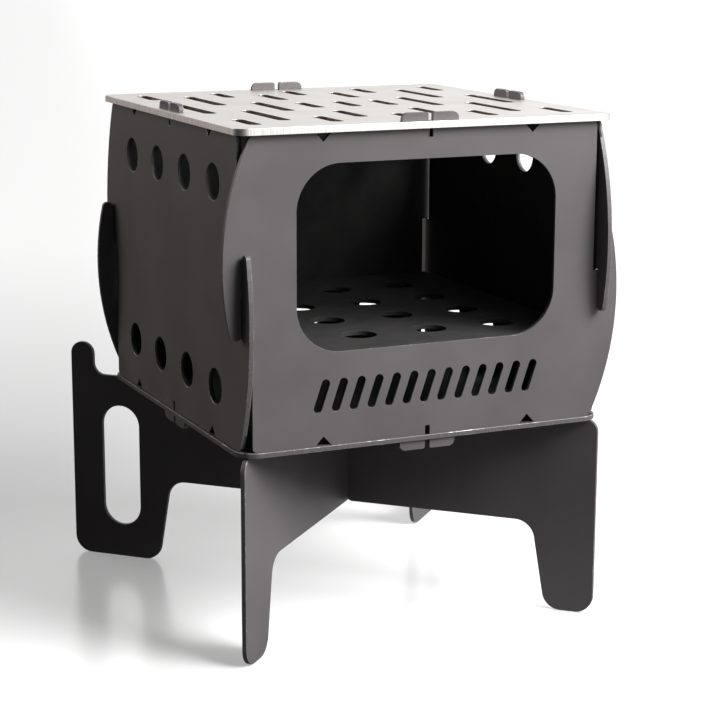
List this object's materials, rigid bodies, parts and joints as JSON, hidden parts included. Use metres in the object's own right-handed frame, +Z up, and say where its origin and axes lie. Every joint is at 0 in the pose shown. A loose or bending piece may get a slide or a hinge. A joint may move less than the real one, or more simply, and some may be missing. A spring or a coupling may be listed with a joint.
{
  "type": "slot-together fire box",
  "caption": "Take-apart fire box of flat steel plates: hooked walls with a stoking window and air holes stand on crossed legs with hand holes, under a slotted grill plate.",
  "frame": {"origin": "on the floor, under the middle of the box that encloses the whole object", "axes": "+Z up; the wall with the stoking window faces -Y; +X to the right of someone who looks at that wall; the hand holes are at the back, on the +Y side"},
  "size_m": [0.2888, 0.2752, 0.326],
  "materials": {
    "coated_steel": "matt heat-resistant coating, dark warm grey, on cut sheet steel",
    "stainless_steel": "satin mill finish with fine cut lines on the edges"
  },
  "bodies": {
    "stand": {"leg_plate_under": "coated_steel"},
    "cross_leg": {"leg_plate_over": "coated_steel"},
    "base": {"base_plate": "coated_steel"},
    "walls": {"front_panel": "coated_steel", "right_panel": "coated_steel", "rear_panel": "coated_steel", "left_panel": "coated_steel"},
    "grate": {"fire_grate": "coated_steel"},
    "grill": {"grill_plate": "stainless_steel"}
  },
  "joints": [
    {"name": "cross_leg_lift", "type": "slide", "parent": "stand", "child": "cross_leg", "axis": [0, 0, 1], "range_m": [0, 0.04]},
    {"name": "base_lift", "type": "slide", "parent": "cross_leg", "child": "base", "axis": [0, 0, 1], "range_m": [0, 0.06]},
    {"name": "walls_lift", "type": "slide", "parent": "base", "child": "walls", "axis": [0, 0, 1], "range_m": [0, 0.015]},
    {"name": "grill_lift", "type": "slide", "parent": "walls", "child": "grill", "axis": [0, 0, 1], "range_m": [0, 0.04]},
    {"name": "grate_lift", "type": "slide", "parent": "base", "child": "grate", "axis": [0, 0, 1], "range_m": [0, 0.12]}
  ]
}
